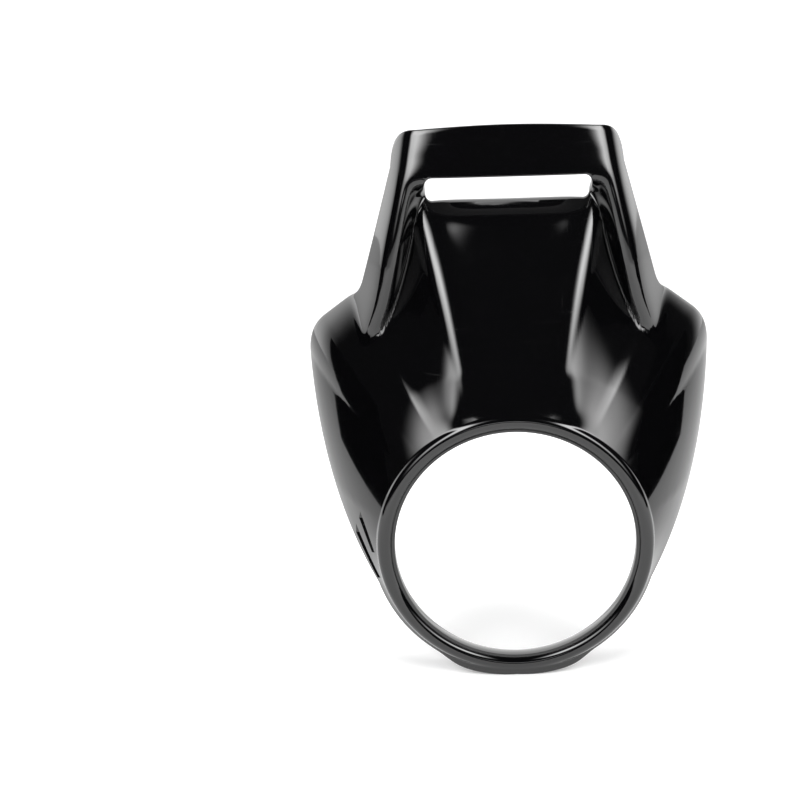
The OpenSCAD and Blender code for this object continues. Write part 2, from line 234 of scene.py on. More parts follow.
def through(x, table):
    """A cubic through a table of points. Its slope at a point is the harmonic mean of the slopes beside it,
    or nought where they differ in sign, so it never passes beyond the points."""
    xs, ys = np.asarray(table, float).T
    h = np.diff(xs)
    g = np.diff(ys) / h
    both = g[:-1] * g[1:]
    mean = np.where(both > 0, 2 * both / np.where(both > 0, g[:-1] + g[1:], 1), 0)
    m = np.concatenate([g[:1], mean, g[-1:]])
    x = np.clip(x, xs[0], xs[-1])
    i = np.clip(np.searchsorted(xs, x, side="right") - 1, 0, len(h) - 1)
    t = (x - xs[i]) / h[i]
    u = 1 - t
    heights = u * u * (1 + 2 * t) * ys[i] + t * t * (3 - 2 * t) * ys[i + 1]
    return heights + t * u * h[i] * (u * m[i] - t * m[i + 1])


def span(p, g, q, n):
    """n points after p on the curve u squared p, plus 2 u t g, plus t squared q, where u is one less t."""
    t = (np.arange(1, n + 1) / n)[:, None]
    return (1 - t) ** 2 * p + 2 * t * (1 - t) * g + t * t * q


def half_rim(f, fine):
    """Stations round one half of the rim: half width, height, depth, angle on the bead, and how far the line
    from the bead to the rim swings out at its lower and upper third. The skirt is an arc whose radius grows
    with the sine of its share, and the rest runs in bends from point to point."""
    s = np.linspace(0, 1, 10 * fine + 1)
    a = -90 + 70 * s
    r = f["skirt_r"] + f["skirt_flare"] * np.sin(np.radians(90 * s))
    o = 0 * s
    skirt = np.stack([r * np.cos(np.radians(a)), r * np.sin(np.radians(a)), 3 + 17 * s * s, a, o, o, o, o], 1)
    vh, vz, vd, vy = f["visor_half"], f["visor_z"], f["visor_drop"], f["visor_y"]
    tx, tz, ty, nx, nz = f["tip_x"], f["tip_z"], f["tip_y"], f["notch_x"], f["notch_z"]
    points = np.array([
        [tx - f["side_in"], tz - f["side_drop"], ty / 2, 9, 0, 0, 0, 0],
        [tx, tz, ty, 28, 0, 0, 0, 0],
        [tx + 1, tz + 21, ty + 1, 32.5, 0, 0, 0, 0],
        [tx - 13, tz + 32.5, ty - 5, 34.5, 2, 0, 1, 0],
        [nx + 3.5, nz - 3.5, ty - 18, 37.5, 10, 2, 5, 0],
        [nx - 0.5, nz, ty - 20, 38.2, 13, 3, 6, 0],
        [nx - 3.5, nz + 9, ty - 23, 39, 16, 3, 7, 0],
        [nx - 16, nz + 53, vy + 17, 41, 29, 3, 11, -1],
        [vh + 17, vz - 30, vy + 6, 43, 37, -2, 11, -3],
        [vh + 16, vz - 16, vy + 4, 44, 40, -3, 9, -5],
        [vh + 12, vz - vd - 7, vy + 2, 45, 41, -4, 7, -7],
        [vh + 8, vz - vd - 0.5, vy + 1, 46.3, 41, -5, 6, -8],
        [vh + 1, vz - vd, vy, 48, 40, -6, 4, -9],
        [vh - 7, vz - 0.8 * vd, vy, 53, 33, -7, 0, -10],
        [f["hood_head"] + 1, vz - 0.7 * vd, vy, 62, 2, 0, 0, 0],
        [f["hood_head"] / 2, vz, vy, 76, 0, 0, 0, 0],
        [0, vz, vy, 90, 0, 0, 0, 0],
    ])
    side, tip_a, tip_b, tip_c, notch_a, notch_b, notch_c, flank_a, flank_b = points[:9]
    corner_a, corner_b, corner_c, crest, valley, shoulder, top_a, top_b = points[9:]
    return np.concatenate([
        skirt,
        span(skirt[-1], side, tip_a, 8 * fine),
        span(tip_a, tip_b, tip_c, 4 * fine),
        span(tip_c, (tip_c + notch_a) / 2, notch_a, 3 * fine),
        span(notch_a, notch_b, notch_c, 2 * fine),
        span(notch_c, flank_a, flank_b, 6 * fine),
        span(flank_b, corner_a, corner_b, 3 * fine),
        span(corner_b, corner_c, crest, 3 * fine),
        span(crest, (crest + valley) / 2, valley, 6 * fine),
        span(valley, (valley + shoulder) / 2, shoulder, 5 * fine),
        span(shoulder, top_a, top_b, 8 * fine),
    ])


def cowl_form(form, slopes):
    """The sizes in millimetres, with what follows from them."""
    f = {k: getattr(form, k) / MM for k in CowlForm.__annotations__}
    f.update({k: getattr(slopes, k) for k in CowlSlopes.__annotations__})
    f["root_r"] = f["bead_out"] + ROOT_GAP
    rim = half_rim(f, FINE)
    f["rim_angle"] = np.degrees(np.arctan2(rim[:, 1], rim[:, 0]))
    f["rim_reach"] = np.hypot(rim[:, 0], rim[:, 1])
    f["rim_depth"] = rim[:, 2]
    return f


def fall_at(f, t, long):
    """Share of the fall from the bead to the rim at a share t of the way. The short skirt follows 1.3 t less
    0.3 t squared. The wings mix a straight line with a quarter round, which is one less the root of one less
    the square of k t, over the same at t of one."""
    u, k = np.minimum(t, 1.03), f["roll"]
    turn = (1 - np.sqrt(1 - k * k * u * u)) / (1 - math.sqrt(1 - k * k))
    wing = f["wing_straight"] * u + (1 - f["wing_straight"]) * turn
    w = np.clip((long - 10) / 30, 0, 1)
    return (1 - w) * (1.3 * t - 0.3 * t * t) + w * wing


def body_depth(f, x, z):
    """Depth of the wings and skirt: from the root to the rim's own depth, by the share of the way out."""
    r, a = np.hypot(x, z), np.degrees(np.arctan2(z, x))
    y0 = f["root_y"] - f["root_rise"] * z / r
    long = np.interp(a, f["rim_angle"], f["rim_reach"]) - f["root_r"]
    hide = 90 * np.clip((a - 56) / 30, 0, 1)
    t = np.maximum((r - f["root_r"]) / long, 0)
    return y0 + (np.interp(a, f["rim_angle"], f["rim_depth"]) + hide - y0) * fall_at(f, t, long)


def hood_depth(f, x, z):
    """Depth of the hood: a leaning front that rolls back near its head, plus ramps across its shoulders."""
    front = (
        f["root_y"] - f["root_rise"] - 0.9
        + f["hood_lean"] * ramp(z - f["root_r"] + 1.8, 4)
        + 0.9 * ramp(z - f["hood_roll_z"], 2.5)
    )
    foot, head = f["hood_foot"], f["hood_head"]
    edge = through(z, [[90, foot], [176, foot + 4.5], [215, head - 2.6], [250, head - 0.4]])
    fall = through(z, [[80, 0.8], [130, 1], [167, 1.35], [212, 1.5]])
    round_off = through(z, [[100, 3.5], [143, 5], [215, 7]])
    return front + fall * ramp(x - edge, round_off) + 0.0012 * x * x + 1.2 * ramp(x - f["notch_x"] + 5, 6)


def arch_depth(f, x, z):
    """Depth of the arch: a face that follows the height, a steep ramp inside its opening and one outside."""
    y, top, foot, fz = f["brow_y"], f["arch_top"], f["arch_foot"], f["arch_foot_z"]
    face = through(z, [
        [100, y + 31], [118, y + 21], [fz, y + 13], [155, y + 5.5], [174, y + 0.5], [196, y - 2.5],
        [219, y - 3.5], [240, y - 2.5], [f["brow_z"], y], [282, y + 5.5], [f["visor_z"], f["visor_y"]],
    ])
    inner = through(z, [
        [120, foot + 9], [fz, foot], [154, foot - 8.5], [174, foot - 15], [196, foot - 19.5],
        [219, foot - 23.5], [f["brow_z"], top], [f["visor_z"], top - 4],
    ])
    outer = through(z, [
        [120, foot + 15], [fz, foot + 7], [154, foot + 1], [174, foot - 5], [219, foot - 14],
        [f["brow_z"], top + 8], [f["visor_z"], top + 2],
    ])
    slope = through(z, [[120, 1], [150, 1.8], [175, f["inner_slope"] - 0.2], [215, f["inner_slope"]]])
    inside = -far(x - inner, 1.3 * (z - f["brow_z"]), 9)
    bow = through(z, [[200, 0], [250, 0.38 * f["visor_bow"]], [f["visor_z"], f["visor_bow"]]])
    face = face + bow * (x / f["visor_half"]) ** 4
    return face + slope * ramp(inside, 1.6) + f["flank_slope"] * ramp(x - outer, 2.5)


def bead_front(f, r):
    """Depth of the bead's front half circle, which falls steeply away outside it."""
    s = r - f["bead_out"]
    arc = -np.sqrt(np.maximum(f["bead"] ** 2 - s * s, 0.0))
    return f["bead_y"] + arc + 8 * np.maximum(s - 0.985 * f["bead"], 0)


def face_depth(f, x, z):
    """Depth of the outer face: the nearest of body, hood and arch, with rounded joins."""
    r = np.hypot(x, z)
    x = np.abs(x)
    soft = 1.5 + 5.5 * np.clip((r - f["root_r"]) / 35, 0, 1)
    return near(near(body_depth(f, x, z), hood_depth(f, x, z), soft), arch_depth(f, x, z), 3)


def outer_depth(f, x, z):
    """Depth of the outer face with the bead in front of its root."""
    return near(face_depth(f, x, z), bead_front(f, np.hypot(x, z)), BEAD_BLEND)


def slopes_at(f, x, z, step=0.7):
    """Slopes of the outer face across and upwards, by central differences."""
    gx = (face_depth(f, x + step, z) - face_depth(f, x - step, z)) / (2 * step)
    gz = (face_depth(f, x, z + step) - face_depth(f, x, z - step)) / (2 * step)
    return gx, gz


def inner_offset(f, x, z):
    """How much deeper the inner face lies: the wall times the face's slant, up to a most."""
    gx, gz = slopes_at(f, x, z)
    return f["wall"] * np.minimum(np.sqrt(1 + gx * gx + gz * gz), MOST_SLANT)


def column_place(f, s, t):
    """Half width and height on the line from bead to rim: a cubic with its thirds swung out."""
    a = np.radians(s[:, 3])
    p = f["root_r"] * np.stack([np.cos(a), np.sin(a)], 1)[:, None]
    q = s[:, None, :2]
    low = p + (q - p) / 3 + s[:, None, 4:6]
    high = q - (q - p) / 3 + s[:, None, 6:8]
    t = t[..., None]
    u = 1 - t
    return u ** 3 * p + 3 * u * u * t * low + 3 * u * t * t * high + t ** 3 * q


def shell_grid(f):
    """The whole moulding as one closed grid. One direction goes once round the opening. The other goes
    once round the wall's section: flange, bead, outer face, rounded rim, inner face and the bead's hollow."""
    half = half_rim(f, FINE)
    other = half[-2:0:-1] * [-1, 1, 1, 1, -1, 1, -1, 1]
    other[:, 3] = 180 - other[:, 3]
    s = np.concatenate([half, other])
    a = np.radians(s[:, 3])
    ring = np.stack([np.cos(a), np.sin(a)], 1)

    way = column_place(f, s, np.tile([0.0, 0.01, 0.99, 1.0], (len(s), 1)))
    speed = np.hypot(*(way[:, 1] - way[:, 0]).T) / 0.01
    outward = np.sum((way[:, 1] - way[:, 0]) * ring, 1) / 0.01
    last = np.hypot(*(way[:, 3] - way[:, 2]).T) / 0.01

    knots = [0, 0.05, 0.1, 0.16, 0.22, 0.28, 0.34, 0.4, 0.46, 0.52, 0.57, 0.62, 0.66, 0.695, 0.73, 0.765,
             0.8, 0.84, 0.89, 0.94, 1]
    rows = np.interp(np.arange(0, 96) / 95, np.arange(21) / 20, knots)
    first_rows = np.array([0.0, 0.35, 0.7, 1.05, 1.4, 1.75, 2.1, 2.5, 2.9, 3.4])
    lead = np.minimum(first_rows / speed[:, None], first_rows / 4.4)
    end = 1 - np.minimum(1.1 / last, 0.12)
    t_out = np.concatenate([lead[:, :-1], lead[:, -1:] + (end[:, None] - lead[:, -1:]) * rows], 1)
    out = column_place(f, s, t_out)
    outer = np.stack([out[..., 0], outer_depth(f, out[..., 0], out[..., 1]), out[..., 1]], -1)

    foot = np.clip(3.0 / outward, 0, 0.7)
    t_in = foot[:, None] + (end - foot)[:, None] * np.interp(np.arange(0, 40) / 39, np.arange(21) / 20, knots)
    inn = column_place(f, s, t_in)
    x, z = inn[..., 0], inn[..., 1]
    gx, gz = slopes_at(f, x, z)
    slant = np.sqrt(1 + gx * gx + gz * gz)
    close = np.clip(1 - (end[:, None] - t_in) * last[:, None] / 7, 0, 1)
    close = close * close * (3 - 2 * close)
    shift = close * f["wall"] / slant
    deep = f["wall"] * ((1 - close) * np.minimum(slant, MOST_SLANT) + close / slant)
    inner = np.stack([x - shift * gx, face_depth(f, x, z) + deep, z - shift * gz], -1)

    tip = column_place(f, s, np.ones((len(s), 1)))[:, 0]
    tip = np.stack([tip[:, 0], face_depth(f, tip[:, 0], tip[:, 1]), tip[:, 1]], 1)
    middle = (outer[:, -1] + inner[:, -1]) / 2
    side = (outer[:, -1] - inner[:, -1]) / 2
    reach = tip - outer[:, -1]
    turn = np.radians(np.linspace(0, 180, 9)[1:-1])[None, :, None]
    rim = middle[:, None] + side[:, None] * np.cos(turn) + reach[:, None] * np.sin(turn)

    b, w, by, rb = f["bead"], f["wall"], f["bead_y"], f["bead_out"]
    edge = f["flange"] / 2
    leg = edge + 0.5
    turn = np.radians(np.array([-54, -47, -40, -33, -26, -19, -12, -6, 0, 6, 12, 18, 24, 29]))
    start = rb - math.sqrt(b * b - (edge + by) ** 2)
    front = np.concatenate([
        [[f["opening"] + 2.2, edge], [f["opening"] + 0.5, edge], [f["opening"] + 0.13, edge - 0.13],
         [f["opening"], edge - 0.5], [f["opening"], 0], [f["opening"], 0.5 - edge],
         [f["opening"] + 0.13, 0.13 - edge], [f["opening"] + 0.5, -edge], [start - 0.9, -edge],
         [start - 0.55, 0.1 - edge], [start - 0.4, 0.55 - edge], [start - 0.15, 0.55 - edge],
         [start - 0.02, 0.05 - edge]],
        np.stack([rb + b * np.sin(turn), by - b * np.cos(turn)], 1),
    ])
    hollow = np.radians(np.linspace(90, -90, 9))
    back = np.concatenate([
        [[rb + b - w + 0.4, leg], [rb + b - w, leg - 0.4], [rb + b - w, leg - 2.5]],
        np.stack([rb + (b - w) * np.sin(hollow), by - (b - w) * np.cos(hollow)], 1),
        [[rb - b + w, leg - 2.5], [rb - b + w, leg - 0.4], [rb - b + w - 0.4, leg], [rb - b + 0.6, leg]],
    ])

    def swept(profile):
        """A profile of radius and depth carried round the opening's axis."""
        radius, depth = profile.T
        return np.stack([radius * ring[:, :1], np.tile(depth, (len(s), 1)), radius * ring[:, 1:]], -1)

    front = swept(front)
    blend = near(front[..., 1], face_depth(f, front[..., 0], front[..., 2]), BEAD_BLEND)
    on_arc = np.hypot(front[..., 0], front[..., 2]) > rb
    front[..., 1] = np.where(on_arc, blend, front[..., 1])
    leg_y = np.maximum(leg, inner[:, 0, 1] + 0.7)
    legs = np.stack([
        np.stack([(rb + b) * ring[:, 0], inner[:, 0, 1] + 0.25, (rb + b) * ring[:, 1]], 1),
        np.stack([(rb + b) * ring[:, 0], leg_y - 0.35, (rb + b) * ring[:, 1]], 1),
        np.stack([(rb + b - 0.35) * ring[:, 0], leg_y, (rb + b - 0.35) * ring[:, 1]], 1),
    ], 1)
    parts = [front, outer, rim, inner[:, ::-1], legs, swept(back)]
    gloss = [True, True, True, False, False, False]
    kind = np.concatenate([np.full(p.shape[1], k) for p, k in zip(parts, gloss)])
    return np.concatenate(parts, 1), kind


def grid_faces(n, m):
    """Four-sided faces of a grid that closes on itself both ways."""
    j, i = np.meshgrid(np.arange(n), np.arange(m), indexing="ij")
    k, l = (j + 1) % n, (i + 1) % m
    return np.stack([j * m + i, k * m + i, k * m + l, j * m + l], -1).reshape(-1, 4)


def add_mesh(name, points, faces, kinds=None):
    """A mesh object from points in millimetres and four-sided faces, with a material number each."""
    mesh = bpy.data.meshes.new(name)
    mesh.vertices.add(len(points))
    mesh.vertices.foreach_set("co", (np.asarray(points, float) * MM).astype(np.float32).ravel())
    mesh.loops.add(faces.size)
    mesh.loops.foreach_set("vertex_index", faces.astype(np.int32).ravel())
    mesh.polygons.add(len(faces))
    mesh.polygons.foreach_set("loop_start", (np.arange(len(faces)) * faces.shape[1]).astype(np.int32))
    if kinds is not None:
        mesh.polygons.foreach_set("material_index", np.asarray(kinds, np.int32))
    mesh.update(calc_edges=True)
    mesh.validate()
    piece = bpy.data.objects.new(name, mesh)
    bpy.context.scene.collection.objects.link(piece)
    return piece


def facing(piece):
    """Signed volume of a closed mesh: the sum of each triangle's box product with the origin, over six."""
    mesh = piece.data
    mesh.calc_loop_triangles()
    co = np.empty(len(mesh.vertices) * 3, np.float32)
    mesh.vertices.foreach_get("co", co)
    tri = np.empty(len(mesh.loop_triangles) * 3, np.int32)
    mesh.loop_triangles.foreach_get("vertices", tri)
    p = co.reshape(-1, 3)[tri.reshape(-1, 3)].astype(float)
    return float(np.sum(p[:, 0] * np.cross(p[:, 1], p[:, 2])) / 6)


def point_outwards(piece):
    """Turns the faces of a closed mesh round if its signed volume is negative."""
    if facing(piece) < 0:
        piece.data.flip_normals()
    return piece


def smooth(piece, degrees):
    """Smooth shading, with edges sharper than the angle kept."""
    piece.data.polygons.foreach_set("use_smooth", np.ones(len(piece.data.polygons), bool))
    piece.data.set_sharp_from_angle(angle=math.radians(degrees))
    piece.data.update()


def cut_away(piece, cutter):
    """Takes a closed cutter away from a piece and removes the cutter."""
    boolean = piece.modifiers.new("cut", "BOOLEAN")
    boolean.operation = "DIFFERENCE"
    boolean.solver = "EXACT"
    boolean.object = cutter
    depsgraph = bpy.context.evaluated_depsgraph_get()
    result = bpy.data.meshes.new_from_object(piece.evaluated_get(depsgraph), depsgraph=depsgraph)
    if len(result.polygons) < 100:
        raise RuntimeError("the cut left nothing of " + piece.name)
    piece.modifiers.clear()
    old = piece.data
    piece.data = result
    result.name = piece.name
    bpy.data.meshes.remove(old)
    bpy.data.objects.remove(cutter)


def slot_outline(f, grow):
    """The slot's rounded rectangle, seen from the front and grown outwards: its straight sides are split
    evenly, and each corner is a quarter circle."""
    along, upright = 60, 8
    half = f["slot_half"] - f["slot_corner"]
    mid = (f["slot_high"] + f["slot_low"]) / 2
    up = (f["slot_high"] - f["slot_low"]) / 2 - f["slot_corner"]
    turn = np.radians(np.linspace(0, 90, 13))
    corners = [[half, mid + up, 0], [-half, mid + up, 90], [-half, mid - up, 180], [half, mid - up, 270]]
    r = f["slot_corner"] + grow
    arcs = [
        np.stack([cx + r * np.cos(turn + np.radians(a0)), cz + r * np.sin(turn + np.radians(a0))], 1)
        for cx, cz, a0 in corners
    ]
    counts = [along, upright, along, upright]
    runs = []
    for k in range(4):
        here, there = arcs[k][-1], arcs[(k + 1) % 4][0]
        t = (np.arange(1, counts[k]) / counts[k])[:, None]
        runs += [arcs[k], here + (there - here) * t]
    return np.concatenate(runs)


def slot_cutter(f):
    """A closed prism along the depth over the slot's outline, less its rounded lip."""
    line = slot_outline(f, f["slot_lip"] - 0.02)
    n = len(line)
    points = np.concatenate([np.insert(line, 1, 12.0, axis=1), np.insert(line, 1, 125.0, axis=1)])
    i = np.arange(n)
    faces = [[a, b, b + n, a + n] for a, b in zip(i.tolist(), ((i + 1) % n).tolist())]
    return prism("slot_cutter", points, faces, n)


def prism(name, points, faces, n):
    """A closed prism from two rings of n points, with a lid on each."""
    mesh = bpy.data.meshes.new(name)
    mesh.from_pydata((points * MM).tolist(), [], faces + [list(range(n))[::-1], list(range(n, 2 * n))])
    mesh.validate()
    piece = bpy.data.objects.new(name, mesh)
    bpy.context.scene.collection.objects.link(piece)
    return point_outwards(piece)


def vent_cutter(f, key):
    """A closed prism across the side panel over one slanting vent, whose upper end is cut at a slant."""
    y, z, long, lean, w = (f[key + part] for part in ("_y", "_z", "_len", "_lean", "_w"))
    along = np.array([math.cos(lean), math.sin(lean)])
    side = np.array([along[1], -along[0]]) * w / 2
    low = np.array([y, z])
    high = low + long * along
    rake = along * w / 2
    ring = np.array([low - side, low + side, high + side - rake, high - side + rake])
    start = -f["bead_out"] - 60
    points = np.concatenate([np.insert(ring, 0, start, axis=1), np.insert(ring, 0, start + 60, axis=1)])
    faces = [[k, (k + 1) % 4, (k + 1) % 4 + 4, k + 4] for k in range(4)]
    return prism(key + "_cutter", points, faces, 4)


def lip_grid(f):
    """The slot's rounded edge: a half ellipse that runs from the outer face over the lip to the inner face,
    carried round the slot's outline, and closed inside the wall."""
    turn = np.radians(np.linspace(-90, 90, 13))
    grow = f["slot_lip"] * (1 - np.cos(turn))
    rings, deep = [], []
    for g, s in zip(grow, (1 + np.sin(turn)) / 2):
        line = slot_outline(f, float(g))
        x, z = line[:, 0], line[:, 1]
        y = face_depth(f, x, z)
        rings.append(np.stack([x, y + s * inner_offset(f, x, z), z], 1))
    line = slot_outline(f, f["slot_lip"] + 0.6)
    x, z = line[:, 0], line[:, 1]
    y, w = face_depth(f, x, z), inner_offset(f, x, z)
    rings += [np.stack([x, y + 0.8 * w, z], 1), np.stack([x, y + 0.2 * w, z], 1)]
    return np.stack(rings, 1)


def boss_grid(f, x, z, rear):
    """A fixing boss: rings of growing and shrinking radius from the bottom of its tapped hole, up to its rear
    face, over its rounded edge and down into the wall, which it meets at the wall's own depth."""
    r, h, d = f["boss"], f["boss_hole"], f["boss_hole_deep"]
    turn = np.linspace(0, 2 * np.pi, 64, endpoint=False)
    c, s = np.cos(turn), np.sin(turn)
    radii = np.array([0.02, h * 0.5, h, h, h, h + 0.25, h + 0.6, r - 0.7, r - 0.2, r, r, r, 0.02])
    depth = np.array([d + 1.4, d + 0.7, d, d - 0.4, 0.5, 0.1, 0, 0, 0.18, 0.7, 1.4])
    px = x + radii[:, None] * c
    pz = z + radii[:, None] * s
    y = np.empty_like(px)
    y[:11] = rear - depth[:, None]
    wall_y = face_depth(f, px[11], pz[11]) + 0.5 * inner_offset(f, px[11], pz[11])
    y[11] = np.minimum(wall_y, rear - 1.6)
    y[12] = y[11].mean()
    return np.stack([px, y, pz], -1).transpose(1, 0, 2)


def open_grid_faces(n, m):
    """Four-sided faces of a grid that closes on itself one way only."""
    j, i = np.meshgrid(np.arange(n), np.arange(m - 1), indexing="ij")
    k = (j + 1) % n
    return np.stack([j * m + i, k * m + i, k * m + i + 1, j * m + i + 1], -1).reshape(-1, 4)


def close_ends(piece, n, m):
    """Closes the small ring at each end of a turned piece with one face."""
    mesh = piece.data
    co = np.empty(len(mesh.vertices) * 3, np.float32)
    mesh.vertices.foreach_get("co", co)
    corners = np.empty(len(mesh.loops), np.int32)
    mesh.loops.foreach_get("vertex_index", corners)
    first = (np.arange(n) * m).tolist()
    final = (np.arange(n) * m + m - 1).tolist()
    closed = bpy.data.meshes.new(mesh.name)
    closed.from_pydata(co.reshape(-1, 3).tolist(), [], corners.reshape(-1, 4).tolist() + [first, final[::-1]])
    piece.data = closed
    bpy.data.meshes.remove(mesh)


def tree(name):
    """A new material with its shader, as the material, its node tree and the shader."""
    material = bpy.data.materials.new(name)
    material.use_nodes = True
    nodes = material.node_tree
    return material, nodes, nodes.nodes["Principled BSDF"]


def add_noise(nodes, scale, detail, stretch=(1, 1, 1), turn=(0, 0, 0)):
    """A noise over the object's own coordinates, stretched and turned."""
    coord = nodes.nodes.new("ShaderNodeTexCoord")
    mapping = nodes.nodes.new("ShaderNodeMapping")
    mapping.inputs["Scale"].default_value = stretch
    mapping.inputs["Rotation"].default_value = turn
    noise = nodes.nodes.new("ShaderNodeTexNoise")
    noise.inputs["Scale"].default_value = scale
    noise.inputs["Detail"].default_value = detail
    nodes.links.new(coord.outputs["Object"], mapping.inputs["Vector"])
    nodes.links.new(mapping.outputs["Vector"], noise.inputs["Vector"])
    return noise.outputs["Fac"]


def remap(nodes, value, low, high, out_low, out_high, soft=False):
    """Maps a value from one range to another, held at the ends."""
    node = nodes.nodes.new("ShaderNodeMapRange")
    node.interpolation_type = "SMOOTHSTEP" if soft else "LINEAR"
    for socket, number in zip(("From Min", "From Max", "To Min", "To Max"), (low, high, out_low, out_high)):
        node.inputs[socket].default_value = number
    nodes.links.new(value, node.inputs["Value"])
    return node.outputs["Result"]


def combine(nodes, kind, *values):
    """One plain operation on one or two values."""
    node = nodes.nodes.new("ShaderNodeMath")
    node.operation = kind
    for value, socket in zip(values, node.inputs):
        nodes.links.new(value, socket)
    return node.outputs[0]


def split(nodes, vector):
    """The three parts of a vector, by their letters."""
    parts = nodes.nodes.new("ShaderNodeSeparateXYZ")
    nodes.links.new(vector, parts.inputs["Vector"])
    return parts.outputs


def ray_kinds(nodes):
    """Whether a ray comes straight from the camera or through glass, and whether it is a reflection."""
    path = nodes.nodes.new("ShaderNodeLightPath")
    plain = combine(nodes, "MAXIMUM", path.outputs["Is Camera Ray"], path.outputs["Is Transmission Ray"])
    return plain, path.outputs["Is Glossy Ray"]


def add_bump(nodes, shader, height, depth, strength):
    """A bump from a height, to the shader's normal."""
    bump = nodes.nodes.new("ShaderNodeBump")
    bump.inputs["Strength"].default_value = strength
    bump.inputs["Distance"].default_value = depth
    nodes.links.new(height, bump.inputs["Height"])
    nodes.links.new(bump.outputs["Normal"], shader.inputs["Normal"])


def gloss_black(finish):
    """Gloss black moulding: a faint ripple, hairline marks, and a little haze that varies over the face."""
    material, nodes, shader = tree("cowl_gloss_black")
    shader.inputs["Base Color"].default_value = finish.gloss_black
    shader.inputs["IOR"].default_value = 1.5
    shader.inputs["Coat Weight"].default_value = finish.coat
    shader.inputs["Coat Roughness"].default_value = 0.035
    haze = remap(nodes, add_noise(nodes, 26, 3), 0.35, 0.7, finish.gloss - 0.015, finish.gloss + 0.03)
    first = remap(nodes, add_noise(nodes, 34, 1, (1, 1, 42), (0.3, 0.2, 0.5)), 0.735, 0.76, 0, 1, True)
    second = remap(nodes, add_noise(nodes, 27, 1, (46, 1, 1), (0.2, 0.4, 0.9)), 0.74, 0.765, 0, 1, True)
    hairs = combine(nodes, "MAXIMUM", first, second)
    roughness = combine(nodes, "ADD", haze, remap(nodes, hairs, 0, 1, 0, 0.12))
    nodes.links.new(roughness, shader.inputs["Roughness"])
    height = combine(nodes, "ADD", add_noise(nodes, 120, 2), remap(nodes, hairs, 0, 1, 0, -0.25))
    add_bump(nodes, shader, height, 0.00006, 0.12)
    return material


def satin_black(finish):
    """Satin black inner face: a fine grain as the tool leaves it, and broad soft patches."""
    material, nodes, shader = tree("cowl_satin_black")
    shader.inputs["Base Color"].default_value = finish.inner_black
    shader.inputs["IOR"].default_value = 1.48
    patch = remap(nodes, add_noise(nodes, 18, 3), 0.3, 0.7, finish.satin - 0.06, finish.satin + 0.08)
    grain = add_noise(nodes, 900, 2)
    roughness = combine(nodes, "ADD", patch, remap(nodes, grain, 0, 1, -0.04, 0.04))
    nodes.links.new(roughness, shader.inputs["Roughness"])
    add_bump(nodes, shader, grain, 0.00012, 0.5)
    return material


def finish_piece(piece, materials, node=None):
    """Gives a piece its materials and its body and, for the shell, hides the solid that it stands for."""
    for material in materials:
        piece.data.materials.append(material)
    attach(piece, "root")
    if node:
        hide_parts(node)


def materials_of(finish):
    """The two finishes, made once."""
    gloss = bpy.data.materials.get("cowl_gloss_black") or gloss_black(finish)
    satin = bpy.data.materials.get("cowl_satin_black") or satin_black(finish)
    return gloss, satin


class COWL_OT_shell(bpy.types.Operator):
    """Add the moulded shell: bead, hood, arch, wings and skirt, with its slot and vents cut"""

    bl_idname = "cowl.shell"
    bl_label = "Moulded shell"

    def execute(self, context):
        scene = context.scene
        f = cowl_form(scene.cowl_form, scene.cowl_slopes)
        points, gloss = shell_grid(f)
        n, m = points.shape[:2]
        kinds = np.tile(np.where(gloss, 0, 1), (n, 1)).reshape(-1)
        shell = point_outwards(add_mesh("cowl_shell", points.reshape(-1, 3), grid_faces(n, m), kinds))
        finish_piece(shell, materials_of(scene.cowl_finish), "cowl")
        cut_away(shell, slot_cutter(f))
        cut_away(shell, vent_cutter(f, "vent_a"))
        cut_away(shell, vent_cutter(f, "vent_b"))
        smooth(shell, 38)
        return {"FINISHED"}


class COWL_OT_slot_lip(bpy.types.Operator):
    """Add the rounded edge of the air slot"""

    bl_idname = "cowl.slot_lip"
    bl_label = "Slot lip"

    def execute(self, context):
        scene = context.scene
        f = cowl_form(scene.cowl_form, scene.cowl_slopes)
        points = lip_grid(f)
        n, m = points.shape[:2]
        lip = point_outwards(add_mesh("cowl_slot_lip", points.reshape(-1, 3), grid_faces(n, m)))
        finish_piece(lip, materials_of(scene.cowl_finish)[:1])
        smooth(lip, 60)
        return {"FINISHED"}


class COWL_OT_bosses(bpy.types.Operator):
    """Add the four fixing bosses on the inside, with their tapped holes"""

    bl_idname = "cowl.bosses"
    bl_label = "Fixing bosses"

    def execute(self, context):
        scene = context.scene
        f = cowl_form(scene.cowl_form, scene.cowl_slopes)
        for name, side, key in (
            ("cowl_boss_upper_left", -1, "boss_up"), ("cowl_boss_upper_right", 1, "boss_up"),
            ("cowl_boss_side_left", -1, "boss_side"), ("cowl_boss_side_right", 1, "boss_side"),
        ):
            points = boss_grid(f, side * f[key + "_x"], f[key + "_z"], f[key + "_y"])
            n, m = points.shape[:2]
            boss = add_mesh(name, points.reshape(-1, 3), open_grid_faces(n, m))
            close_ends(boss, n, m)
            point_outwards(boss)
            finish_piece(boss, materials_of(scene.cowl_finish)[1:])
            smooth(boss, 35)
        return {"FINISHED"}


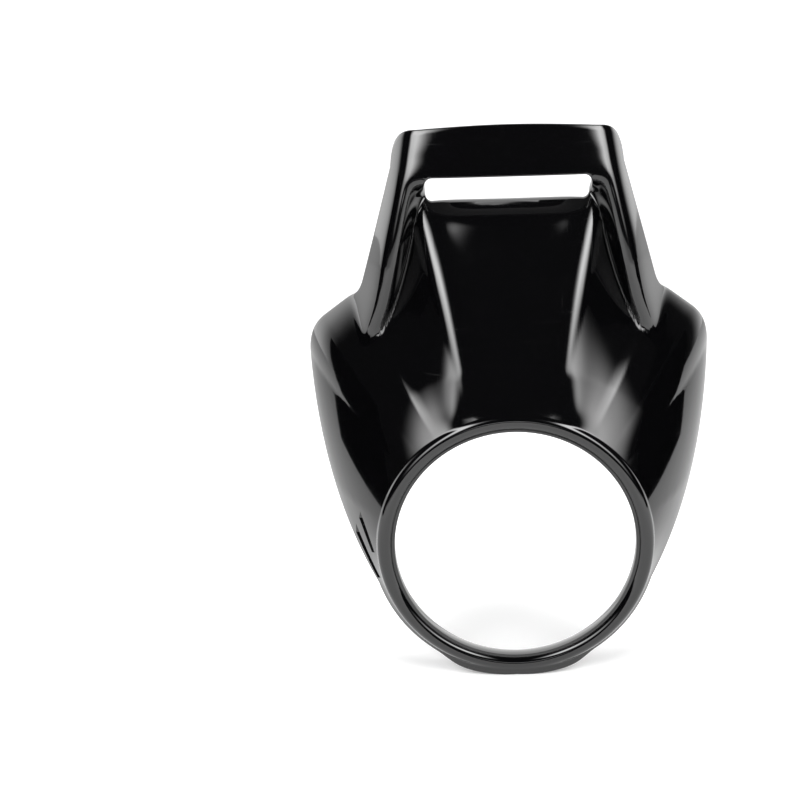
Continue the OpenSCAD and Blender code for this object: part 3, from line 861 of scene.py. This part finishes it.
def add_softbox(name, stage, turn, up, lean, wide, high, level):
    """A rectangular lamp that faces the cowl and leans about its own axis. Its level is the brightness of
    its face, which fades at the edges and is brighter towards its head."""
    data = bpy.data.lights.new(name, "AREA")
    data.shape = "RECTANGLE"
    data.size, data.size_y = wide, high
    data.energy = 4 * level * wide * high
    lamp = bpy.data.objects.new(name, data)
    bpy.context.scene.collection.objects.link(lamp)
    out = Vector((math.sin(turn) * math.cos(up), -math.cos(turn) * math.cos(up), math.sin(up)))
    place = Matrix.Translation(Vector((0, 0.05, 0.12)) + out * stage.box_far)
    facing_cowl = out.to_track_quat("Z", "Y").to_matrix().to_4x4()
    lamp.matrix_world = place @ facing_cowl @ Matrix.Rotation(lean, 4, "Z")
    lamp.visible_camera = False
    data.use_nodes = True
    nodes = data.node_tree
    across = split(nodes, nodes.nodes.new("ShaderNodeNewGeometry").outputs["Parametric"])
    soft = stage.box_soft
    fade = remap(nodes, across["Y"], 0.2, 0.95, stage.box_dim, stage.box_bright, True)
    for axis in "XY":
        start = remap(nodes, across[axis], 0, soft, 0, 1, True)
        end = remap(nodes, across[axis], 1 - soft, 1, 1, 0, True)
        fade = combine(nodes, "MULTIPLY", fade, combine(nodes, "MULTIPLY", start, end))
    nodes.links.new(fade, nodes.nodes["Emission"].inputs["Strength"])


def add_flag(stage, side, low):
    """A black board beside the cowl, which stands on the floor and shows in reflections alone."""
    x = side * stage.flag_x / MM
    front, rear, high = stage.flag_front / MM, stage.flag_rear / MM, stage.flag_high / MM
    corners = np.array([[x, front, low], [x, rear, low], [x, rear, high], [x, front, high]])
    flag = add_mesh("flag_right" if side > 0 else "flag_left", corners, np.array([[0, 1, 2, 3]]))
    material, nodes, shader = tree(flag.name + "_felt")
    shader.inputs["Roughness"].default_value = 1
    shader.inputs["Specular IOR Level"].default_value = 0
    felt = remap(nodes, add_noise(nodes, 60, 2), 0, 1, 0.002, 0.006)
    nodes.links.new(felt, shader.inputs["Base Color"])
    flag.data.materials.append(material)
    flag.visible_camera = flag.visible_diffuse = flag.visible_shadow = False


def add_floor(stage, low):
    """The pale paper floor. What it gives off of itself is seen by the camera, less beside the cowl, where
    the shadow lies, and by reflections."""
    wide, front, rear = 4000.0, -3000, 7000
    corners = np.array([[-wide, front, low], [wide, front, low], [wide, rear, low], [-wide, rear, low]])
    floor = add_mesh("floor", corners, np.array([[0, 1, 2, 3]]))
    material, nodes, shader = tree("floor_paper")
    shader.inputs["Base Color"].default_value = stage.floor_shade
    shader.inputs["Roughness"].default_value = 0.9
    shader.inputs["Specular IOR Level"].default_value = 0.1
    shader.inputs["Emission Color"].default_value = (1, 1, 1, 1)
    plain, glossy = ray_kinds(nodes)
    coord = nodes.nodes.new("ShaderNodeTexCoord").outputs["Object"]
    away = nodes.nodes.new("ShaderNodeVectorMath")
    away.operation = "LENGTH"
    nodes.links.new(coord, away.inputs[0])
    lift = remap(nodes, away.outputs["Value"], 0.12, 0.2, stage.floor_lift_near, stage.floor_lift, True)
    lift = combine(nodes, "MULTIPLY", lift, plain)
    beside = combine(nodes, "ABSOLUTE", split(nodes, coord)["X"])
    sheen = remap(nodes, beside, 0.12, 0.6, stage.front_sheen, stage.side_level, True)
    sheen = combine(nodes, "MULTIPLY", sheen, glossy)
    nodes.links.new(combine(nodes, "MAXIMUM", lift, sheen), shader.inputs["Emission Strength"])
    add_bump(nodes, shader, add_noise(nodes, 300, 2), 0.0002, 0.1)
    floor.data.materials.append(material)


def add_room(scene, stage):
    """The world: white to the camera, an even level as light, and to reflections a dark room in front with
    a pale wall behind, by the angle round from the front."""
    room = bpy.data.worlds.new("studio")
    scene.world = room
    room.use_nodes = True
    nodes = room.node_tree
    back = nodes.nodes["Background"]
    back.inputs["Strength"].default_value = 1
    outward = split(nodes, nodes.nodes.new("ShaderNodeTexCoord").outputs["Generated"])
    front = remap(nodes, outward["Y"], -1, 1, 1, -1)
    bearing = combine(nodes, "ARCTAN2", outward["X"], front)
    shift, start, end = stage.dark_turn, stage.dark_to, stage.dark_to + math.radians(24)
    turned = remap(nodes, bearing, -math.pi, math.pi, -math.pi - shift, math.pi - shift)
    behind = remap(nodes, combine(nodes, "ABSOLUTE", turned), start, end, 0.02, stage.back_level, True)
    plain, glossy = ray_kinds(nodes)
    mirrored = nodes.nodes.new("ShaderNodeMix")
    mirrored.inputs["A"].default_value = stage.room_level
    nodes.links.new(glossy, mirrored.inputs["Factor"])
    nodes.links.new(behind, mirrored.inputs["B"])
    nodes.links.new(combine(nodes, "MAXIMUM", mirrored.outputs["Result"], plain), back.inputs["Color"])


def add_camera(scene, stage):
    """The camera, which looks at its target from a distance and is rolled about its own axis."""
    camera = bpy.data.objects.new("camera", bpy.data.cameras.new("camera"))
    scene.collection.objects.link(camera)
    e, a, roll = stage.camera_up, stage.camera_turn, stage.camera_roll
    forward = Vector((math.sin(a) * math.cos(e), math.cos(a) * math.cos(e), -math.sin(e)))
    right = Vector((math.cos(a), -math.sin(a), 0))
    up = right.cross(forward)
    side = right * math.cos(roll) - up * math.sin(roll)
    top = right * math.sin(roll) + up * math.cos(roll)
    place = Vector((stage.target_x, stage.target_y, stage.target_z)) - forward * stage.camera_far
    turn = Matrix((side, top, -forward)).transposed().to_4x4()
    camera.matrix_world = Matrix.Translation(place) @ turn
    camera.data.sensor_width = 36
    camera.data.lens = stage.lens
    camera.data.clip_end = 50
    scene.camera = camera


class COWL_OT_stage(bpy.types.Operator):
    """Add the pale floor, the studio lamps, the world and the camera"""

    bl_idname = "cowl.stage"
    bl_label = "Floor, lamps and camera"

    def execute(self, context):
        scene = context.scene
        stage = scene.cowl_stage
        low = CAD_BOX[0][2] / MM
        add_floor(stage, low)
        add_room(scene, stage)
        for name in ("left", "right", "front"):
            turn, up, lean, wide, high, level = (
                getattr(stage, name + part) for part in ("_turn", "_up", "_lean", "_wide", "_high", "_level")
            )
            add_softbox("softbox_" + name, stage, turn, up, lean, wide, high, level)
        for side in (-1, 1):
            add_flag(stage, side, low)
        add_camera(scene, stage)
        scene.view_settings.view_transform = "Standard"
        return {"FINISHED"}


class COWL_PT_panel(bpy.types.Panel):
    """Lists the pieces of the cowl and its stage"""

    bl_label = "Headlight Cowl"
    bl_idname = "COWL_PT_panel"
    bl_space_type = "VIEW_3D"
    bl_region_type = "UI"
    bl_category = "Cowl"

    def draw(self, context):
        for step in STEPS:
            self.layout.operator(step.bl_idname)
        for group, kind in GROUPS.items():
            column = self.layout.column(align=True)
            column.label(text=kind.__doc__)
            for key in kind.__annotations__:
                column.prop(getattr(context.scene, group), key)


STEPS = (COWL_OT_shell, COWL_OT_slot_lip, COWL_OT_bosses, COWL_OT_stage)
GROUPS = {
    "cowl_form": CowlForm, "cowl_slopes": CowlSlopes, "cowl_finish": CowlFinish, "cowl_stage": CowlStage,
}


def register():
    """Registers the classes and puts the property groups on the scene."""
    for kind in (*GROUPS.values(), *STEPS, COWL_PT_panel):
        bpy.utils.register_class(kind)
    for group, kind in GROUPS.items():
        setattr(bpy.types.Scene, group, bpy.props.PointerProperty(type=kind))


def unregister():
    """Takes away what register added."""
    for group in GROUPS:
        delattr(bpy.types.Scene, group)
    for kind in reversed((*GROUPS.values(), *STEPS, COWL_PT_panel)):
        bpy.utils.unregister_class(kind)


def main():
    """Builds every piece and the stage."""
    register()
    bpy.ops.cowl.shell()
    bpy.ops.cowl.slot_lip()
    bpy.ops.cowl.bosses()
    bpy.ops.cowl.stage()


if __name__ == "__main__":
    main()
